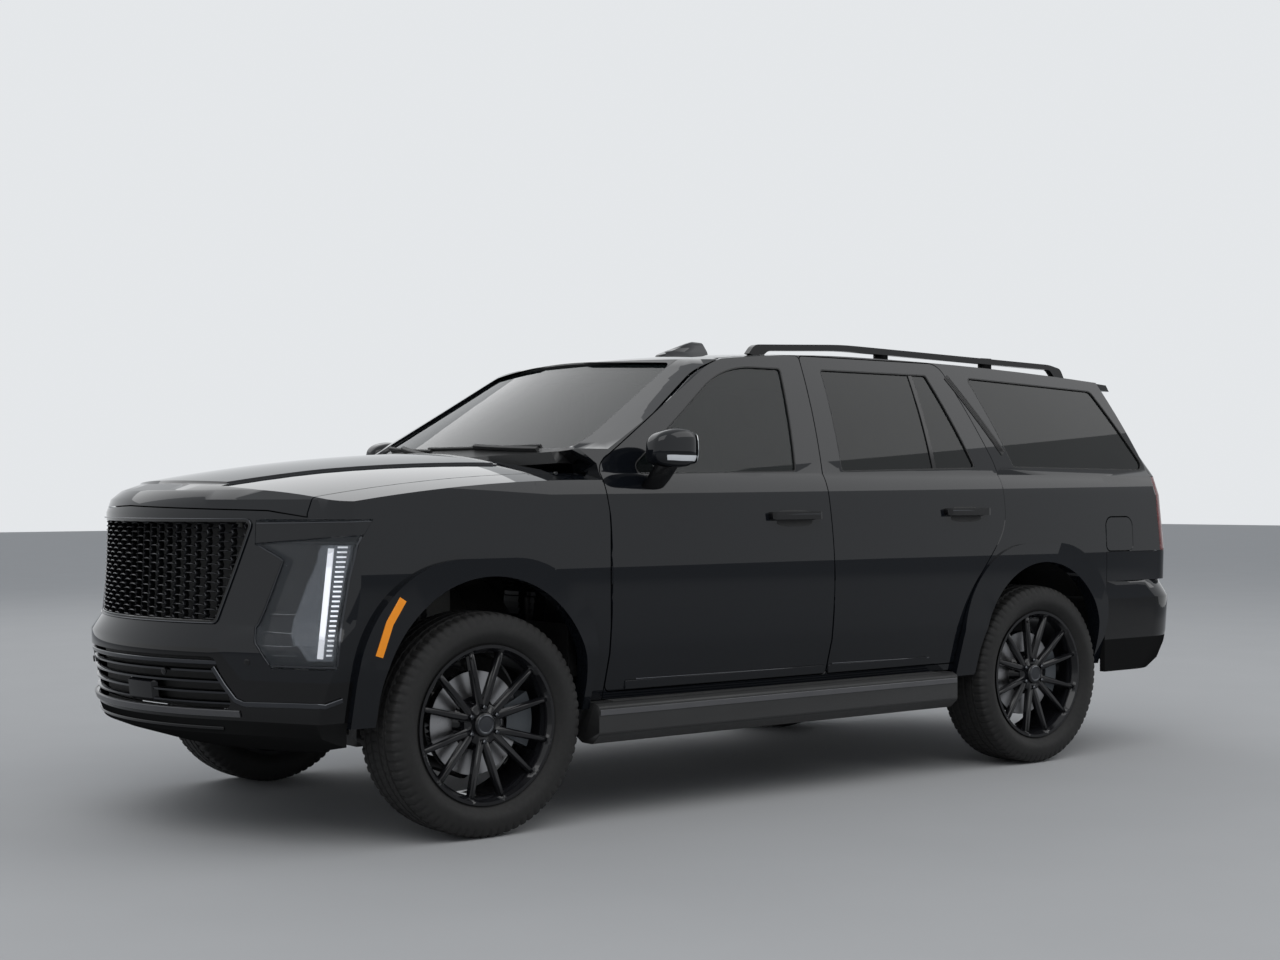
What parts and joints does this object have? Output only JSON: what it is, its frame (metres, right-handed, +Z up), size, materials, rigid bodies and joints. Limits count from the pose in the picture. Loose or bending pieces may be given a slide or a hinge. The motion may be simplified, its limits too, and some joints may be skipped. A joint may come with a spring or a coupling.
{
  "type": "full-size sport utility vehicle",
  "caption": "Large body-on-frame sport utility vehicle with hinged doors, hood and tailgate, steered front wheels and a full cabin.",
  "frame": {"origin": "on the ground, midway along the length and across the width", "axes": "+X forward, +Y to the vehicle's left, +Z up"},
  "size_m": [5.3818, 2.32, 1.9793],
  "materials": {
    "body_paint": "gloss black paint with a clear coat",
    "black_trim": "gloss black",
    "cladding": "satin black, fine grain",
    "window_glass": "clear, light tint",
    "dark_glass": "dark tint",
    "lamp_lens": "clear lens over dark housing",
    "tail_lens": "dark red lens",
    "tyre": "matt rubber",
    "rim": "gloss black painted alloy",
    "frame_paint": "satin black chassis paint",
    "bare_metal": "rough steel",
    "interior": "dark grained plastic",
    "seat_leather": "dark leather"
  },
  "bodies": {
    "body_shell": {"body_side_left": "body_paint", "body_side_right": "body_paint", "tail_lamps": "tail_lens", "quarter_glass": "dark_glass", "roof_panel": "body_paint", "windscreen": "window_glass", "cowl": "cladding", "headlamps": "black_trim", "headlamp_lenses": "lamp_lens", "grille": "black_trim", "front_bumper": "body_paint", "arch_mouldings": "cladding", "front_fenders": "body_paint", "rear_bumper": "body_paint", "ladder_frame": "frame_paint", "engine": "bare_metal", "driveline": "bare_metal", "exhaust": "bare_metal", "fuel_tank": "cladding", "spare_wheel": "tyre", "front_suspension": "frame_paint", "rear_suspension": "frame_paint", "floor_pan": "frame_paint", "radiator": "bare_metal", "running_boards": "cladding", "hitch_receiver": "frame_paint", "roof_rails": "black_trim", "dashboard": "interior", "front_seats": "seat_leather", "middle_seats": "seat_leather", "rear_seats": "seat_leather"},
    "front_door_left": {"front_door_left": "body_paint", "front_handle_left": "body_paint", "front_door_glass_left": "window_glass", "mirror_left": "body_paint"},
    "front_door_right": {"front_door_right": "body_paint", "front_handle_right": "body_paint", "front_door_glass_right": "window_glass", "mirror_right": "body_paint"},
    "rear_door_left": {"rear_door_left": "body_paint", "rear_handle_left": "body_paint", "rear_door_glass_left": "dark_glass"},
    "rear_door_right": {"rear_door_right": "body_paint", "rear_handle_right": "body_paint", "rear_door_glass_right": "dark_glass"},
    "hood": {"hood": "body_paint"},
    "tailgate": {"tailgate": "body_paint", "tailgate_glass": "dark_glass"},
    "fuel_door": {"fuel_door": "body_paint"},
    "steering_wheel": {"steering_wheel": "interior"},
    "knuckle_left": {"knuckle_left": "bare_metal"},
    "knuckle_right": {"knuckle_right": "bare_metal"},
    "wheel_front_left": {"tyre_front_left": "tyre", "rim_front_left": "rim"},
    "wheel_front_right": {"tyre_front_right": "tyre", "rim_front_right": "rim"},
    "wheel_rear_left": {"tyre_rear_left": "tyre", "rim_rear_left": "rim"},
    "wheel_rear_right": {"tyre_rear_right": "tyre", "rim_rear_right": "rim"}
  },
  "joints": [
    {"name": "steer_left", "type": "hinge", "parent": "body_shell", "child": "knuckle_left", "pos_m": [1.651, 0.8, 0.4165], "axis": [0, 0, 1], "range_deg": [-32, 32]},
    {"name": "wheel_spin_front_left", "type": "hinge", "parent": "knuckle_left", "child": "wheel_front_left", "pos_m": [1.651, 0.8685, 0.4165], "axis": [0, 1, 0], "continuous": true},
    {"name": "wheel_spin_rear_left", "type": "hinge", "parent": "body_shell", "child": "wheel_rear_left", "pos_m": [-1.42, 0.8685, 0.4165], "axis": [0, 1, 0], "continuous": true},
    {"name": "front_door_hinge_left", "type": "hinge", "parent": "body_shell", "child": "front_door_left", "pos_m": [1.105, 1.014, 0.955], "axis": [0, 0, -1], "range_deg": [0, 68]},
    {"name": "rear_door_hinge_left", "type": "hinge", "parent": "body_shell", "child": "rear_door_left", "pos_m": [-0.067, 1.02, 0.863], "axis": [0, 0, -1], "range_deg": [0, 70]},
    {"name": "steer_right", "type": "hinge", "parent": "body_shell", "child": "knuckle_right", "pos_m": [1.651, -0.8, 0.4165], "axis": [0, 0, 1], "range_deg": [-32, 32]},
    {"name": "wheel_spin_front_right", "type": "hinge", "parent": "knuckle_right", "child": "wheel_front_right", "pos_m": [1.651, -0.8685, 0.4165], "axis": [0, 1, 0], "continuous": true},
    {"name": "wheel_spin_rear_right", "type": "hinge", "parent": "body_shell", "child": "wheel_rear_right", "pos_m": [-1.42, -0.8685, 0.4165], "axis": [0, 1, 0], "continuous": true},
    {"name": "front_door_hinge_right", "type": "hinge", "parent": "body_shell", "child": "front_door_right", "pos_m": [1.105, -1.014, 0.955], "axis": [0, 0, 1], "range_deg": [0, 68]},
    {"name": "rear_door_hinge_right", "type": "hinge", "parent": "body_shell", "child": "rear_door_right", "pos_m": [-0.067, -1.02, 0.863], "axis": [0, 0, 1], "range_deg": [0, 70]},
    {"name": "hood_hinge", "type": "hinge", "parent": "body_shell", "child": "hood", "pos_m": [1.253, 0, 1.346], "axis": [0, -1, 0], "range_deg": [0, 48]},
    {"name": "tailgate_hinge", "type": "hinge", "parent": "body_shell", "child": "tailgate", "pos_m": [-2.02, 0, 1.8545], "axis": [0, 1, 0], "range_deg": [0, 88]},
    {"name": "fuel_door_hinge", "type": "hinge", "parent": "body_shell", "child": "fuel_door", "pos_m": [-1.893, 1.00566, 1.067], "axis": [0, 0, -1], "range_deg": [0, 100]},
    {"name": "steering_wheel_spin", "type": "hinge", "parent": "body_shell", "child": "steering_wheel", "pos_m": [0.666, 0.385, 1.205], "axis": [-0.9207, 0, 0.3903], "range_deg": [-480, 480]}
  ],
  "couplings": [
    {"joint": "steer_right", "follows": "steer_left", "ratio": 1},
    {"joint": "steering_wheel_spin", "follows": "steer_left", "ratio": 15}
  ]
}
